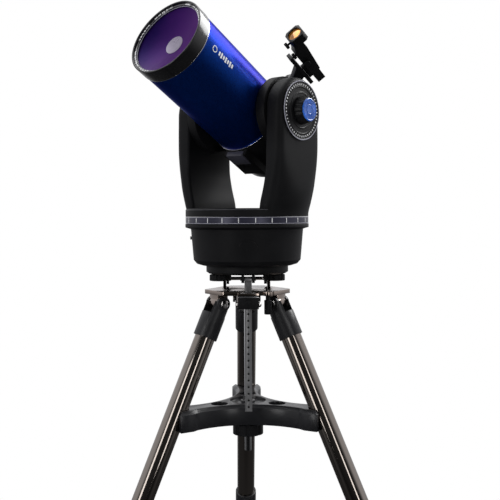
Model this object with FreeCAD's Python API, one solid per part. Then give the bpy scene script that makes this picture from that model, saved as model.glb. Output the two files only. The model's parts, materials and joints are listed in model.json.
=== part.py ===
"""A fork-mounted catadioptric telescope on a tripod, in millimetres.

The origin is on the floor under the azimuth axis, and +Z is up.
The tripod stands with one leg to the back (+Y) and two to the front.
Fork pieces are drawn about the altitude axis: +X along it, +Y behind the telescope.
Tube pieces are drawn about the optical axis: X along the altitude axis, Y up
from the tube, Z forward to the sky. Leg pieces hang down from their pivot.
"""
import FreeCAD
import Part
import math
import os

V = FreeCAD.Vector

# heights above the floor
ALTITUDE_Z = 887.0
FORK_TOP_Z = ALTITUDE_Z - 172.0
FORK_BOTTOM_Z = ALTITUDE_Z - 187.0
RING_BOTTOM_Z = ALTITUDE_Z - 199.4
DRUM_BOTTOM_Z = ALTITUDE_Z - 277.0
TILT_BOTTOM_Z = ALTITUDE_Z - 292.3
HEAD_TOP_Z = ALTITUDE_Z - 322.0
HEAD_THICK = 7.5
TRAY_TOP_Z = ALTITUDE_Z - 532.0
TRAY_THICK = 37.0
HOLE_CIRCLE_R = 61.5

# how the telescope is turned
FORK_TURN = -40.83
ELEVATION = 28.41

# tripod
LEG_ANGLES = {"back": 90.0, "left": 210.0, "right": 330.0}
SPLAY = 24.5
PIVOT_R = 63.1
PIVOT_Z = ALTITUDE_Z - 345.8
YOKE_R = 22.0
YOKE_LENGTH = 67.0
LUG_HALF = 15.0
LEG_TUBE_R = 18.6
LEG_WALL = 1.2
LEG_TUBE_END = 500.0
COLLAR_R = 22.3
COLLAR_START = 489.0
COLLAR_END = 539.0
INNER_TUBE_R = 16.0
INNER_TUBE_START = 150.0
FOOT_R = 18.5
FOOT_START = 556.0
FIT = 0.08
ROD_R = 6.25
ROD_BOTTOM_Z = ALTITUDE_Z - 627.8
SPREADER_KNOB_R = 28.8
LEG_BOLT_R = 4.0
LEG_SCREW_R = 3.0
LEG_SCREW_Z = -521.0
RECESS_R = 34.0
TRAY_BEVEL = 6.0

# tilting plate, its strut and the drive base
TILT_R = 76.5
LOCK_X = 35.5
LOCK_Y = -66.0
HINGE_Y = 60.0
HINGE_Z = ALTITUDE_Z - 307.0
STRUT_Y = -70.0
STRUT_PIN_Z = ALTITUDE_Z - 300.0
STRUT_BOTTOM_Z = ALTITUDE_Z - 538.0
STRUT_WIDTH = 13.0
STRUT_THICK = 3.0
STRUT_HOLE_R = 2.0
STRUT_HOLE_STEP = 12.0
HINGE_PIN_R = 3.5
STRUT_PIN_R = 2.0
HEAD_EAR_X = 42.5
TILT_EAR_X = 36.5
ATTACH_X = 50.0
ATTACH_Y = -4.0
ATTACH_SCREW_R = 4.0
AXLE_R = 14.0
DRUM_TOP_R = 104.7
DRUM_LOW_R = 99.9
BASE_R = 115.1

# fork
ARM_OUT = 125.2
ARM_IN = 92.0
ARM_TOP_R = 59.0
ARM_BOTTOM = -183.0

# optical tube
TUBE_R = 71.8
TUBE_WALL = 1.4
CELL_R = 73.0
FRONT_S = 240.0
CELL_BACK_S = 214.0
HOUSING_BACK_S = -74.0
REAR_S = -112.0
LENS_R = 65.0
LENS_EDGE_R = 66.5
LENS_SAG = 17.0
LENS_THICK = 8.0
LENS_SEAT_S = 223.0
LENS_SEAT_R = 61.0
BEZEL_S = 231.4
SPOT_R = 17.2
CHEEK_R = 63.0
CHEEK_OUT = 91.4
FLIP_S = -93.0
BARREL_R = 15.875
BAFFLE_R = 14.0
BAFFLE_INNER_R = 12.6
FOCUS_X = 42.0
FOCUS_Y = -14.0


def cylinder(radius, low, high, x=0.0, y=0.0):
    return Part.makeCylinder(radius, high - low, V(x, y, low))


def ring(outer, inner, low, high):
    return cylinder(outer, low, high).cut(cylinder(inner, low - 1, high + 1))


def box(x0, x1, y0, y1, z0, z1):
    return Part.makeBox(x1 - x0, y1 - y0, z1 - z0, V(x0, y0, z0))


def x_cylinder(radius, x0, x1, y=0.0, z=0.0):
    return Part.makeCylinder(radius, x1 - x0, V(x0, y, z), V(1, 0, 0))


def y_cylinder(radius, y0, y1, x=0.0, z=0.0):
    return Part.makeCylinder(radius, y1 - y0, V(x, y0, z), V(0, 1, 0))


def turned(profile):
    """A solid of revolution about Z from (radius, height) corners."""
    points = [V(r, 0, z) for r, z in profile]
    face = Part.Face(Part.makePolygon(points + points[:1]))
    return face.revolve(V(0, 0, 0), V(0, 0, 1), 360)


def prism(points, low, high):
    """A polygon of (x, y) corners, extruded in Z."""
    corners = [V(x, y, low) for x, y in points]
    face = Part.Face(Part.makePolygon(corners + corners[:1]))
    return face.extrude(V(0, 0, high - low))


def lobed(radius, lobes, low, high, depth=2.5):
    """A hand knob with round finger hollows in its rim."""
    knob = cylinder(radius, low, high)
    knob = knob.makeFillet(1.5, [e for e in knob.Edges if e.Closed])
    hollow = radius * math.pi / lobes * 0.55
    for i in range(lobes):
        angle = 2 * math.pi * i / lobes
        reach = radius + hollow - depth
        knob = knob.cut(cylinder(hollow, low - 1, high + 1,
                                 reach * math.cos(angle), reach * math.sin(angle)))
    return knob


def moved(shape, placement):
    out = shape.copy()
    out.transformShape(placement.toMatrix(), False, False)
    return out


def turn(axis, angle, position=(0, 0, 0)):
    return FreeCAD.Placement(V(*position), FreeCAD.Rotation(V(*axis), angle))


def leg_placement(angle):
    hang = turn((1, 0, 0), SPLAY, (0, PIVOT_R, PIVOT_Z))
    return turn((0, 0, 1), angle - 90).multiply(hang)


def fork_placement():
    return turn((0, 0, 1), FORK_TURN, (0, 0, ALTITUDE_Z))


def tube_placement():
    return fork_placement().multiply(turn((1, 0, 0), 90 - ELEVATION))


# ---------------------------------------------------------------- tripod

def head_outline():
    """The head plate's corners: three long sides and three cut corners."""
    side = 66.0
    tip = 74.0
    half = (side - tip * 0.5) / math.sin(math.radians(60))
    points = []
    for angle in sorted(LEG_ANGLES.values()):
        out = (math.cos(math.radians(angle)), math.sin(math.radians(angle)))
        along = (-out[1], out[0])
        for sign in (-1, 1):
            points.append((out[0] * tip + along[0] * half * sign,
                           out[1] * tip + along[1] * half * sign))
    return points


def tripod_head():
    low = HEAD_TOP_Z - HEAD_THICK
    plate = prism(head_outline(), low, HEAD_TOP_Z)
    upright = [e for e in plate.Edges if abs(e.Vertexes[0].Z - e.Vertexes[-1].Z) > 1]
    plate = plate.makeFillet(10, upright)
    plate = plate.fuse(box(-18.5, 18.5, -92, -55, low + 2, HEAD_TOP_Z - 1))
    plate = plate.fuse(cylinder(20, low - 22, low + 1))
    for sign in (-1, 1):
        x = sign * HEAD_EAR_X
        ear = box(x - 3, x + 3, HINGE_Y - 11, HINGE_Y + 11, low + 1, HINGE_Z)
        ear = ear.fuse(x_cylinder(11, x - 3, x + 3, HINGE_Y, HINGE_Z))
        plate = plate.fuse(ear)
    for angle in LEG_ANGLES.values():
        lug = box(-LUG_HALF, LUG_HALF, PIVOT_R - 12, PIVOT_R + 9, PIVOT_Z, low + 1)
        lug = lug.fuse(x_cylinder(12, -LUG_HALF, LUG_HALF, PIVOT_R, PIVOT_Z))
        plate = plate.fuse(moved(lug, turn((0, 0, 1), angle - 90)))
    for angle in LEG_ANGLES.values():
        hole = x_cylinder(LEG_BOLT_R, -60, 60, PIVOT_R, PIVOT_Z)
        plate = plate.cut(moved(hole, turn((0, 0, 1), angle - 90)))
    plate = plate.cut(box(-8, 8, -80.5, -56, low - 5, HEAD_TOP_Z + 5))
    plate = plate.cut(x_cylinder(HINGE_PIN_R, -60, 60, HINGE_Y, HINGE_Z))
    plate = plate.cut(cylinder(ROD_R, low - 40, low - 6))
    plate = plate.fuse(cylinder(8.5, low, HEAD_TOP_Z, LOCK_X, LOCK_Y))
    return plate.cut(cylinder(3.5, low - 5, HEAD_TOP_Z + 5, LOCK_X, LOCK_Y)).removeSplitter()


def pivot_pins():
    """Three leg bolts with round heads, and the long pin of the tilting plate."""
    pins = []
    for angle in LEG_ANGLES.values():
        bolt = x_cylinder(LEG_BOLT_R, -24, 24, PIVOT_R, PIVOT_Z)
        for sign in (-1, 1):
            bolt = bolt.fuse(x_cylinder(7.5, min(22.4 * sign, 27 * sign),
                                        max(22.4 * sign, 27 * sign), PIVOT_R, PIVOT_Z))
        pins.append(moved(bolt, turn((0, 0, 1), angle - 90)))
    pins.append(x_cylinder(HINGE_PIN_R, -49, 49, HINGE_Y, HINGE_Z))
    return Part.makeCompound(pins)


def center_rod():
    return cylinder(ROD_R, ROD_BOTTOM_Z, HEAD_TOP_Z - HEAD_THICK - 6)


def bar_guide():
    """The clamp block in front of the strut, with its small screw head."""
    block = box(-18.5, 18.5, -92, -81, HEAD_TOP_Z - 29, HEAD_TOP_Z - HEAD_THICK + 2)
    return block.fuse(y_cylinder(4.5, -94.5, -92, 0, HEAD_TOP_Z - 17))


def latitude_lock_knob():
    low = HEAD_TOP_Z - 41
    top = HEAD_TOP_Z - HEAD_THICK - 0.4
    knob = lobed(6.8, 6, low, low + 26, 1.2)
    stem = cylinder(4.0, low + 26, top).fuse(cylinder(3.42, top - 1, HEAD_TOP_Z - 0.5))
    knob = knob.fuse(stem)
    knob.translate(V(LOCK_X, LOCK_Y, 0))
    return knob


# Leg pieces hang along -Z from the pivot at the origin, with X across the leg.

def leg_yoke():
    sleeve = cylinder(YOKE_R, -YOKE_LENGTH, 0)
    for sign in (-1, 1):
        inner = sign * (LUG_HALF + 0.4)
        outer = sign * YOKE_R
        sleeve = sleeve.fuse(x_cylinder(13, min(inner, outer), max(inner, outer)))
    sleeve = sleeve.cut(box(-LUG_HALF - 0.4, LUG_HALF + 0.4, -40, 40, -22, 30))
    sleeve = sleeve.cut(x_cylinder(LEG_BOLT_R + FIT, -40, 40))
    return sleeve.cut(cylinder(LEG_TUBE_R, -YOKE_LENGTH - 1, -31))


def leg_tube():
    return ring(LEG_TUBE_R, LEG_TUBE_R - LEG_WALL, -LEG_TUBE_END, -31)


def leg_collar():
    collar = cylinder(COLLAR_R, -COLLAR_END, -COLLAR_START)
    collar = collar.makeFillet(2.0, [e for e in collar.Edges if e.Closed])
    collar = collar.fuse(y_cylinder(9.0, 10, 27, 0, LEG_SCREW_Z))
    collar = collar.cut(cylinder(LEG_TUBE_R, -LEG_TUBE_END, -COLLAR_START + 1))
    collar = collar.cut(cylinder(INNER_TUBE_R + FIT, -COLLAR_END - 1, -COLLAR_START))
    return collar.cut(y_cylinder(LEG_SCREW_R + FIT, 0, 40, 0, LEG_SCREW_Z))


def leg_lock_knob():
    knob = lobed(14.0, 5, 28, 44, 2.5)
    knob = knob.fuse(cylinder(LEG_SCREW_R, INNER_TUBE_R + 0.6, 30))
    return moved(knob, turn((1, 0, 0), -90, (0, 0, LEG_SCREW_Z)))


def leg_inner_tube():
    return ring(INNER_TUBE_R, INNER_TUBE_R - LEG_WALL, -FOOT_START - 14, -INNER_TUBE_START)


def leg_foot(angle):
    foot = turned([(0, -FOOT_START), (INNER_TUBE_R - LEG_WALL, -FOOT_START),
                   (INNER_TUBE_R - LEG_WALL, -FOOT_START - 14), (FOOT_R, -FOOT_START - 14),
                   (FOOT_R, -FOOT_START - 60), (0, -FOOT_START - 60)])
    foot = moved(foot, leg_placement(angle))
    return foot.common(box(-500, 500, -500, 500, 0, 100))


# ---------------------------------------------------------------- spreader

def tray_outline(side=24.0, inset=0.0):
    """Three arms joined by hollow arcs, as one closed wire at Z = 0."""
    tip = 155.0 - inset
    shoulder = 120.0
    waist = 46.0 - inset
    ear = 29.0 - inset
    half = side - inset
    edges = []
    start = None
    last = None
    for angle in sorted(LEG_ANGLES.values()):
        a = math.radians(angle)
        out = V(math.cos(a), math.sin(a), 0)
        along = V(-out.y, out.x, 0)
        corners = [out * shoulder - along * half, out * (shoulder + 10) - along * ear,
                   out * tip - along * ear, out * tip + along * ear,
                   out * (shoulder + 10) + along * ear, out * shoulder + along * half]
        if last is None:
            start = corners[0]
        else:
            b = math.radians(angle - 60)
            middle = V(math.cos(b), math.sin(b), 0) * waist
            edges.append(Part.Arc(last, middle, corners[0]).toShape())
        for first, second in zip(corners, corners[1:]):
            edges.append(Part.LineSegment(first, second).toShape())
        last = corners[-1]
    b = math.radians(max(LEG_ANGLES.values()) + 60)
    middle = V(math.cos(b), math.sin(b), 0) * waist
    edges.append(Part.Arc(last, middle, start).toShape())
    return Part.Face(Part.Wire(edges))


def spreader_tray():
    bottom = TRAY_TOP_Z - TRAY_THICK
    tray = tray_outline().extrude(V(0, 0, TRAY_THICK))
    rim = [e for e in tray.Edges if min(p.Z for p in e.Vertexes) > TRAY_THICK - 0.01]
    tray = tray.makeChamfer(TRAY_BEVEL, rim)
    hollow = tray_outline(inset=5.0).extrude(V(0, 0, TRAY_THICK - 9))
    hollow.translate(V(0, 0, -1))
    hollow = hollow.cut(cylinder(26, -2, TRAY_THICK))
    for angle in LEG_ANGLES.values():
        block = box(-30, 30, 118, 160, -2, TRAY_THICK)
        hollow = hollow.cut(moved(block, turn((0, 0, 1), angle - 90)))
    tray = tray.cut(hollow)
    recess = ring(RECESS_R, 13, TRAY_THICK - 5, TRAY_THICK + 1)
    tray = tray.cut(recess).cut(cylinder(ROD_R + FIT, -5, TRAY_THICK + 5))
    for angle in LEG_ANGLES.values():
        a = math.radians(angle)
        tray = tray.cut(cylinder(BARREL_R + 0.1, -5, TRAY_THICK + 5,
                                 HOLE_CIRCLE_R * math.cos(a), HOLE_CIRCLE_R * math.sin(a)))
    tray.translate(V(0, 0, bottom))
    for angle in LEG_ANGLES.values():
        seat = moved(cylinder(LEG_TUBE_R + 1.2, -400, 0), leg_placement(angle))
        tray = tray.cut(seat)
    return tray


def spreader_knob():
    high = TRAY_TOP_Z - TRAY_THICK - 0.5
    knob = lobed(SPREADER_KNOB_R, 8, high - 26, high - 5, 2.5).fuse(cylinder(15, high - 6, high))
    return knob.cut(cylinder(ROD_R + FIT, high - 30, high + 1))


# ---------------------------------------------------------------- tilting plate

def tilt_plate():
    top = DRUM_BOTTOM_Z
    plate = turned([(0, TILT_BOTTOM_Z), (TILT_R - 4.9, TILT_BOTTOM_Z),
                    (TILT_R, TILT_BOTTOM_Z + 3.3), (TILT_R, top), (0, top)])
    for sign in (-1, 1):
        x = sign * TILT_EAR_X
        ear = box(x - 2.5, x + 2.5, HINGE_Y - 11, HINGE_Y + 11, HINGE_Z, TILT_BOTTOM_Z + 1)
        ear = ear.fuse(x_cylinder(11, x - 2.5, x + 2.5, HINGE_Y, HINGE_Z))
        plate = plate.fuse(ear)
    for sign in (-1, 1):
        x = sign * 9.5
        lug = box(x - 2.5, x + 2.5, STRUT_Y - 6, STRUT_Y + 8, STRUT_PIN_Z, TILT_BOTTOM_Z + 1)
        lug = lug.fuse(x_cylinder(6, x - 2.5, x + 2.5, STRUT_Y, STRUT_PIN_Z))
        plate = plate.fuse(lug)
    plate = plate.cut(x_cylinder(HINGE_PIN_R + FIT, -60, 60, HINGE_Y, HINGE_Z))
    for x in (-ATTACH_X, ATTACH_X):
        plate = plate.cut(cylinder(ATTACH_SCREW_R + FIT, TILT_BOTTOM_Z - 1, top + 1, x, ATTACH_Y))
    return plate.fuse(x_cylinder(STRUT_PIN_R, -14, 14, STRUT_Y, STRUT_PIN_Z))


def latitude_bar():
    half = STRUT_WIDTH / 2
    front = STRUT_Y - STRUT_THICK / 2
    bar = box(-half, half, front, front + STRUT_THICK, STRUT_BOTTOM_Z, STRUT_PIN_Z)
    eye = x_cylinder(4.6, -half, half, STRUT_Y, STRUT_PIN_Z)
    bar = bar.fuse(eye)
    z = STRUT_BOTTOM_Z + 8
    while z < STRUT_PIN_Z - 14:
        bar = bar.cut(y_cylinder(STRUT_HOLE_R, front - 1, front + STRUT_THICK + 1, 0, z))
        z += STRUT_HOLE_STEP
    return bar.cut(x_cylinder(STRUT_PIN_R + FIT, -half - 1, half + 1, STRUT_Y, STRUT_PIN_Z))


def attachment_knob(x):
    low = TILT_BOTTOM_Z - 14.0
    knob = lobed(20.5, 7, low, low + 11.6, 2.0)
    knob = knob.fuse(cylinder(ATTACH_SCREW_R, low + 11, DRUM_BOTTOM_Z + 6.5))
    knob = knob.fuse(cylinder(7.0, low + 11, TILT_BOTTOM_Z - 0.4))
    knob.translate(V(x, ATTACH_Y, 0))
    return knob


# ---------------------------------------------------------------- drive base

PANEL_ANGLE = 100.0
LEVER_ANGLE = 155.0
LEVER_R = 112.0


def drive_base():
    bottom = DRUM_BOTTOM_Z
    top = RING_BOTTOM_Z - 0.4
    outer = turned([(0, bottom), (84, bottom), (93, bottom + 3), (DRUM_LOW_R, bottom + 9.2),
                    (DRUM_TOP_R, top - 10), (BASE_R, top - 7), (BASE_R, top), (0, top)])
    inner = turned([(0, bottom + 8), (88, bottom + 8), (95, bottom + 12),
                    (99.5, top - 14), (0, top - 14)])
    base = outer.cut(inner)
    base = base.fuse(cylinder(100, top - 1, FORK_BOTTOM_Z - 0.4))
    base = base.cut(cylinder(AXLE_R + FIT, top - 20, FORK_BOTTOM_Z + 1))
    for x in (-ATTACH_X, ATTACH_X):
        base = base.cut(cylinder(ATTACH_SCREW_R + FIT, bottom - 1, bottom + 7, x, ATTACH_Y))
    pocket = box(94.6, 120, -25.5, 25.5, bottom + 16.5, bottom + 55.5)
    base = base.cut(moved(pocket, turn((0, 0, 1), PANEL_ANGLE)))
    boss = cylinder(7, bottom + 40, bottom + 46, LEVER_R, 0)
    boss = boss.fuse(box(97, LEVER_R, -7, 7, bottom + 40, bottom + 46))
    base = base.fuse(moved(boss, turn((0, 0, 1), LEVER_ANGLE)))
    pin = cylinder(2.5, bottom + 44, bottom + 54.4, LEVER_R, 0)
    return base.fuse(moved(pin, turn((0, 0, 1), LEVER_ANGLE)))


def control_panel():
    bottom = DRUM_BOTTOM_Z
    panel = box(94.6, 100.5, -25.5, 25.5, bottom + 16.5, bottom + 55.5)
    for y in (-19, -9):
        panel = panel.cut(box(97, 110, y - 3.5, y + 3.5, bottom + 24, bottom + 32))
    panel = panel.cut(box(97, 110, -22, -8, bottom + 38, bottom + 50))
    panel = panel.cut(x_cylinder(4.5, 97, 110, 4, bottom + 28))
    panel = panel.cut(box(96.2, 110, 1.6, 20.4, bottom + 36.4, bottom + 49.6))
    return moved(panel, turn((0, 0, 1), PANEL_ANGLE))


def power_switch():
    z = DRUM_BOTTOM_Z + 43
    rocker = box(97.6, 102.0, 2.6, 19.4, z - 5.4, z + 5.4)
    rocker = rocker.fuse(cylinder(1.5, z - 6.3, z + 6.3, 99.8, 11))
    return moved(rocker, turn((0, 0, 1), PANEL_ANGLE))


def azimuth_circle():
    return ring(BASE_R, 100.3, RING_BOTTOM_Z, FORK_BOTTOM_Z - 0.4)


def azimuth_lock_lever():
    z = DRUM_BOTTOM_Z + 46.4
    lever = cylinder(7, z, z + 6, LEVER_R, 0)
    lever = lever.fuse(box(LEVER_R - 4, LEVER_R + 4, -34, 0, z, z + 6))
    lever = lever.fuse(cylinder(4, z, z + 6, LEVER_R, -34))
    lever = lever.cut(cylinder(2.5 + FIT, z - 1, z + 7, LEVER_R, 0))
    return moved(lever, turn((0, 0, 1), LEVER_ANGLE))


def azimuth_gear():
    axle = cylinder(AXLE_R, RING_BOTTOM_Z - 26, FORK_BOTTOM_Z)
    wheel = cylinder(42.0, RING_BOTTOM_Z - 24, RING_BOTTOM_Z - 17)
    return axle.fuse(wheel).cut(cylinder(9, RING_BOTTOM_Z - 30, FORK_BOTTOM_Z + 1))


# ---------------------------------------------------------------- fork

def arm(sign):
    """One arm: a round-topped slab, bounded outside by the base's round sides."""
    top = Part.Arc(V(0, -ARM_TOP_R, 0), V(0, 0, ARM_TOP_R), V(0, ARM_TOP_R, 0)).toShape()
    corners = [V(0, ARM_TOP_R, 0), V(0, 64, ARM_BOTTOM), V(0, -64, ARM_BOTTOM), V(0, -ARM_TOP_R, 0)]
    sides = [Part.LineSegment(a, b).toShape() for a, b in zip(corners, corners[1:])]
    slab = Part.Face(Part.Wire([top] + sides)).extrude(V(ARM_OUT, 0, 0))
    rim = [e for e in slab.Edges if e.BoundBox.XMin > ARM_OUT - 0.01]
    slab = slab.makeFillet(9.0, [e for e in rim if e.BoundBox.ZMax > ARM_BOTTOM + 1])
    round_side = turned([(0, ARM_BOTTOM), (114.7, ARM_BOTTOM), (120.5, -163), (127, -137),
                         (133, -97), (136, -67), (136.8, -40), (136.8, 70), (0, 70)])
    inner = [V(0, 0, 80), V(ARM_IN, 0, 80), V(ARM_IN, 0, -105), V(87, 0, -134),
             V(79, 0, -164), V(78, 0, ARM_BOTTOM - 1), V(0, 0, ARM_BOTTOM - 1)]
    gap = Part.Face(Part.makePolygon(inner + inner[:1])).extrude(V(0, 160, 0))
    gap.translate(V(0, -80, 0))
    slab = slab.common(round_side).cut(gap)
    slab = slab.cut(x_cylinder(AXLE_R + FIT, ARM_IN - 5, ARM_OUT + 5))
    if sign < 0:
        slab = moved(slab, turn((0, 0, 1), 180))
    return slab


def fork_base(arms):
    high = FORK_TOP_Z - ALTITUDE_Z
    low = FORK_BOTTOM_Z - ALTITUDE_Z
    base = turned([(0, low), (BASE_R - 0.6, low), (BASE_R - 0.6, high - 2),
                   (BASE_R - 2.6, high), (0, high)])
    for piece in arms:
        base = base.cut(piece)
    return base


# ---------------------------------------------------------------- optical tube

def optical_tube():
    return ring(TUBE_R, TUBE_R - TUBE_WALL, -2, CELL_BACK_S)


def front_cell():
    inner = TUBE_R - TUBE_WALL
    pocket = LENS_EDGE_R + 0.2
    shelf = LENS_SEAT_S - 4
    return turned([(CELL_R, CELL_BACK_S), (CELL_R, FRONT_S - 1.5), (CELL_R - 1.5, FRONT_S),
                   (69.6, FRONT_S), (69.4, BEZEL_S), (pocket, BEZEL_S), (pocket, LENS_SEAT_S),
                   (LENS_SEAT_R, LENS_SEAT_S), (LENS_SEAT_R, shelf), (inner, shelf),
                   (inner, CELL_BACK_S)])


def retaining_ring():
    return turned([(LENS_R, BEZEL_S), (69.2, BEZEL_S), (69.2, 236.0), (LENS_R + 1.2, 236.0),
                   (LENS_R, 234.8)])


def lens_bowl(front, back):
    """A shell between two depths behind the corrector's front face, hollow to the front."""
    curve = (LENS_EDGE_R ** 2 + LENS_SAG ** 2) / (2 * LENS_SAG)
    centre = V(0, 0, BEZEL_S - 0.2 - LENS_SAG + curve)
    outer = Part.makeSphere(curve + back, centre)
    return outer.cut(Part.makeSphere(curve + front, centre))


def corrector_lens():
    rim = cylinder(LENS_EDGE_R, LENS_SEAT_S, BEZEL_S - 0.2)
    middle = cylinder(LENS_SEAT_R - 0.2, BEZEL_S - 40, LENS_SEAT_S)
    return lens_bowl(0.0, LENS_THICK).common(rim.fuse(middle))


def secondary_spot():
    middle = cylinder(SPOT_R, BEZEL_S - 40, LENS_SEAT_S)
    return lens_bowl(LENS_THICK, LENS_THICK + 0.4).common(middle)


def rear_housing():
    """The casting that holds the tube: a sleeve with a flat cheek and shaft each side."""
    sleeve = ring(CELL_R, 70.2, -70, -2)
    sleeve = sleeve.fuse(ring(CELL_R, BAFFLE_R, HOUSING_BACK_S, -70))
    for sign in (-1, 1):
        near = sign * 73.3
        far = sign * CHEEK_OUT
        cheek = x_cylinder(CHEEK_R, min(near, far), max(near, far))
        web = box(min(sign * 55, near + sign), max(sign * 55, near + sign), -40, 40, -56, -4)
        web = web.cut(cylinder(71.5, -70, 10))
        reach = 126 if sign > 0 else -122
        shaft = x_cylinder(AXLE_R, min(far, reach), max(far, reach))
        sleeve = sleeve.fuse(cheek).fuse(web).fuse(shaft)
    block = box(-24.5, 24.5, -82, -60, -72, -5).cut(cylinder(72, -100, 10))
    sleeve = sleeve.fuse(block)
    sleeve = sleeve.cut(x_cylinder(4.0 + FIT, 112, 130))
    sleeve = sleeve.cut(cylinder(3.0 + FIT, -80, -60, FOCUS_X, FOCUS_Y))
    return sleeve.cut(Part.makeCylinder(3.175, 12, V(0, -83, -34), V(0, 1, 0)))


def rear_cell():
    inside = REAR_S + 5
    cell = turned([(CELL_R, HOUSING_BACK_S), (CELL_R, REAR_S + 12), (69, inside), (62, REAR_S),
                   (19.05, REAR_S), (19.05, inside), (66, inside), (69.8, REAR_S + 14),
                   (69.8, HOUSING_BACK_S)])
    cell = cell.fuse(ring(24.5, 19.05, REAR_S - 14, inside))
    seat = Part.makeCylinder(18.8, 12, V(0, 66, FLIP_S), V(0, 1, 0))
    cell = cell.fuse(seat)
    cell = cell.cut(Part.makeCylinder(BARREL_R + 0.1, 60, V(0, 40, FLIP_S), V(0, 1, 0)))
    cell = cell.cut(x_cylinder(3.0 + FIT, -90, -40, 0, FLIP_S))
    return cell.cut(cylinder(3.0 + FIT, REAR_S - 5, REAR_S + 20, FOCUS_X, FOCUS_Y))


def primary_mirror():
    """The mirror on its sliding sleeve, with the lug that the focus screw pushes."""
    mirror = ring(67, 17.0, -42, -30)
    dish = Part.makeSphere(640, V(0, 0, 606.2))
    mirror = mirror.cut(dish)
    sleeve = ring(17.0, BAFFLE_R + FIT, -50, -16)
    lug = box(FOCUS_X - 6, FOCUS_X + 6, FOCUS_Y - 6, FOCUS_Y + 6, -46, -42)
    return mirror.fuse(sleeve).fuse(lug)


def baffle_tube():
    tube = ring(BAFFLE_R, BAFFLE_INNER_R, HOUSING_BACK_S, 40)
    return tube.fuse(ring(20, BAFFLE_INNER_R, HOUSING_BACK_S - 2, HOUSING_BACK_S))


def flip_mirror():
    """The tilted mirror on its cross shaft, with the knob at the left side."""
    mirror = box(-13, 13, -16, 16, -1.5, 1.5)
    mirror = moved(mirror, turn((1, 0, 0), -45, (0, 0, FLIP_S)))
    shaft = x_cylinder(3.0, -76, 14, 0, FLIP_S)
    knob = moved(lobed(9.0, 6, 73.6, 84, 1.2), turn((0, 1, 0), -90, (0, 0, FLIP_S)))
    return mirror.fuse(shaft).fuse(knob)


def focus_knob():
    knob = lobed(10.0, 12, REAR_S - 19, REAR_S - 4, 1.0)
    knob = knob.fuse(cylinder(3.0, REAR_S - 5, -53)).fuse(cylinder(5, REAR_S - 5, REAR_S - 0.4))
    knob.translate(V(FOCUS_X, FOCUS_Y, 0))
    return knob


def eyepiece_holder():
    holder = cylinder(18.8, 78, 102).cut(cylinder(BARREL_R + 0.1, 77, 103))
    holder = holder.makeFillet(1.0, [e for e in holder.Edges if e.Closed and e.BoundBox.ZMin > 101.9
                                     and e.BoundBox.XMax > 18])
    return moved(holder, turn((1, 0, 0), -90, (0, 0, FLIP_S))).cut(
        cylinder(2.5 + FIT, FLIP_S - 30, FLIP_S - 10, 0, 92))


def eyepiece():
    body = turned([(0, 72), (BARREL_R, 72), (BARREL_R, 102.4), (18.5, 102.4), (18.5, 122),
                   (21, 126), (21, 144), (15, 150), (9, 150), (6, 146), (0, 146)])
    return moved(body, turn((1, 0, 0), -90, (0, 0, FLIP_S)))


def eyepiece_thumbscrew():
    screw = lobed(6.5, 9, FLIP_S - 31, FLIP_S - 21, 0.8)
    screw = screw.fuse(cylinder(2.5, FLIP_S - 22, FLIP_S - 16.4))
    screw.translate(V(0, 92, 0))
    return screw


def altitude_circle():
    circle = x_cylinder(52.5, 125.6, 127.0)
    circle = circle.cut(x_cylinder(27.0, 125.0, 128.0))
    hub = x_cylinder(27.0, 126.0, 127.0).cut(x_cylinder(4.2, 125, 128))
    return circle.fuse(hub)


def altitude_lock_knob():
    knob = Part.makeCone(25.0, 21.0, 15.5, V(127.5, 0, 0), V(1, 0, 0))
    knob = knob.fuse(x_cylinder(19.6, 143, 144.8))
    for i in range(10):
        angle = 2 * math.pi * i / 10
        y = 27.5 * math.cos(angle)
        z = 27.5 * math.sin(angle)
        groove = Part.makeCone(5.0, 8.0, 12.0, V(131, y, z), V(1, 0, 0))
        knob = knob.cut(groove)
    return knob.fuse(x_cylinder(4.0, 113, 128))


# The finder is drawn on the +X side of the tube, then turned up about the tube axis. X is its
# height over the tube axis, Y its width and Z the distance along the tube.
FINDER_TURN = 45.0
CRADLE_LOW = 127.0
CRADLE_TOP = 134.0
BODY_HALF = 11.0
HOOD_HALF = 15.5
HOOD_LOW = 147.5
HOOD_TOP = 178.5
HOOD_BACK_S = 53.0
HOOD_FRONT_S = 70.0
WINDOW_R = 12.8
WINDOW_X = 163.0
HOOD_SCREW_S = 60.0
TILT_SCREW_S = 32.0
DIMMER_X = 147.0
DIMMER_S = 12.0


def finder_place(shape):
    return moved(shape, turn((0, 0, 1), FINDER_TURN))


def side_plate(outline, half):
    """An outline of (height, along) points, extruded to both sides of the finder's middle."""
    corners = [V(x, -half, s) for x, s in outline]
    return Part.Face(Part.makePolygon(corners + corners[:1])).extrude(V(0, 2 * half, 0))


def finder_bracket():
    foot = box(70, 79, -15, 15, -46, -5).cut(cylinder(CELL_R, -90, 10))
    stem = side_plate([(78, -34), (78, -8), (108, -1), (CRADLE_LOW + 1, 14),
                       (CRADLE_LOW + 1, -14), (104, -22)], 6)
    cradle = box(CRADLE_LOW, CRADLE_TOP, -9, 9, -35, TILT_SCREW_S + 6)
    bracket = foot.fuse(stem).fuse(cradle)
    return finder_place(bracket.cut(x_cylinder(2.0 + FIT, 120, 140, 0, TILT_SCREW_S)))


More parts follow.
